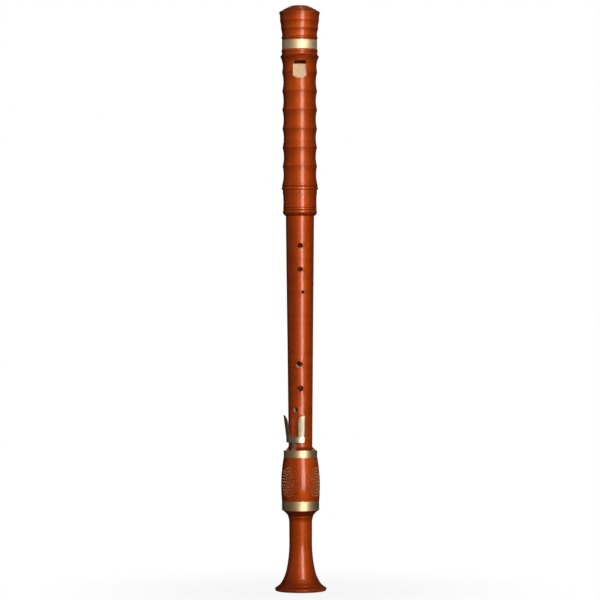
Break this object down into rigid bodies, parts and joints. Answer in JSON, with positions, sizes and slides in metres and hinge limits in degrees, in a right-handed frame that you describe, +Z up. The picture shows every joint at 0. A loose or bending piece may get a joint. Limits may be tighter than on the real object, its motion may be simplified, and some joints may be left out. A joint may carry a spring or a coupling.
{
  "type": "bass recorder",
  "caption": "Bass recorder with turned cap, wavy head joint, tapered middle joint, perforated fontanelle over a swallowtail key, and flared foot.",
  "frame": {"origin": "centre of the foot's base, on the bore's axis", "axes": "+Z up the bore towards the cap, -Y the side of the window and finger holes, +X to the viewer's right"},
  "size_m": [0.084, 0.084, 0.96],
  "materials": {
    "stained_wood": "stained hardwood under a glossy oil finish",
    "cedar": "bare cedar",
    "cork": "sheet cork, waxed",
    "ring_brass": "pale polished brass",
    "key_brass": "pale polished brass",
    "spring_brass": "hard rolled brass",
    "steel": "turned steel",
    "pad_leather": "soft pale leather",
    "felt": "pressed felt"
  },
  "bodies": {
    "middle": {"middle_joint": "stained_wood", "strap_eye": "key_brass", "touch_saddle": "key_brass", "flap_saddle": "key_brass", "saddle_screws": "steel", "touch_axle": "steel", "flap_axle": "steel"},
    "head_lapping": {"head_tenon_cork": "cork"},
    "head": {"head_joint": "stained_wood", "block": "cedar"},
    "cap_lapping": {"cap_tenon_cork": "cork"},
    "cap": {"cap_shell": "stained_wood", "cap_ring": "ring_brass"},
    "foot_lapping": {"foot_tenon_cork": "cork"},
    "foot": {"foot_joint": "stained_wood", "fontanelle": "stained_wood", "fontanelle_upper_ring": "ring_brass", "fontanelle_lower_ring": "ring_brass"},
    "touch_key": {"key_touch": "key_brass", "key_shank": "key_brass", "touch_spring": "spring_brass", "touch_spring_rivet": "steel"},
    "flap": {"flap_lever": "key_brass", "flap_felt": "felt", "pad_cup": "key_brass", "key_pad": "pad_leather", "flap_spring": "spring_brass", "flap_spring_rivet": "steel"}
  },
  "joints": [
    {"name": "key_press", "type": "hinge", "parent": "middle", "child": "touch_key", "pos_m": [-0.00983, -0.0181, 0.215], "axis": [-0.8788, 0.4772, 0], "range_deg": [0, 2.35], "stiffness_Nm_per_rad": 0.8, "springref_deg": -4.58, "deforming": ["touch_spring"]},
    {"name": "flap_close", "type": "hinge", "parent": "middle", "child": "flap", "pos_m": [-0.00983, -0.0181, 0.1835], "axis": [-0.8788, 0.4772, 0], "range_deg": [-5.45, 0], "deforming": ["flap_spring"]},
    {"name": "head_turn", "type": "hinge", "parent": "middle", "child": "head_lapping", "pos_m": [0, 0, 0.64], "axis": [0, 0, 1], "continuous": true},
    {"name": "head_draw", "type": "slide", "parent": "head_lapping", "child": "head", "axis": [0, 0, 1], "range_m": [0, 0.057]},
    {"name": "cap_turn", "type": "hinge", "parent": "head", "child": "cap_lapping", "pos_m": [0, 0, 0.9], "axis": [0, 0, 1], "continuous": true},
    {"name": "cap_draw", "type": "slide", "parent": "cap_lapping", "child": "cap", "axis": [0, 0, 1], "range_m": [0, 0.042]},
    {"name": "foot_turn", "type": "hinge", "parent": "middle", "child": "foot_lapping", "pos_m": [0, 0, 0.117], "axis": [0, 0, 1], "continuous": true},
    {"name": "foot_draw", "type": "slide", "parent": "foot_lapping", "child": "foot", "axis": [0, 0, -1], "range_m": [0, 0.135]}
  ],
  "couplings": [
    {"joint": "flap_close", "follows": "key_press", "ratio": -2.3158}
  ]
}
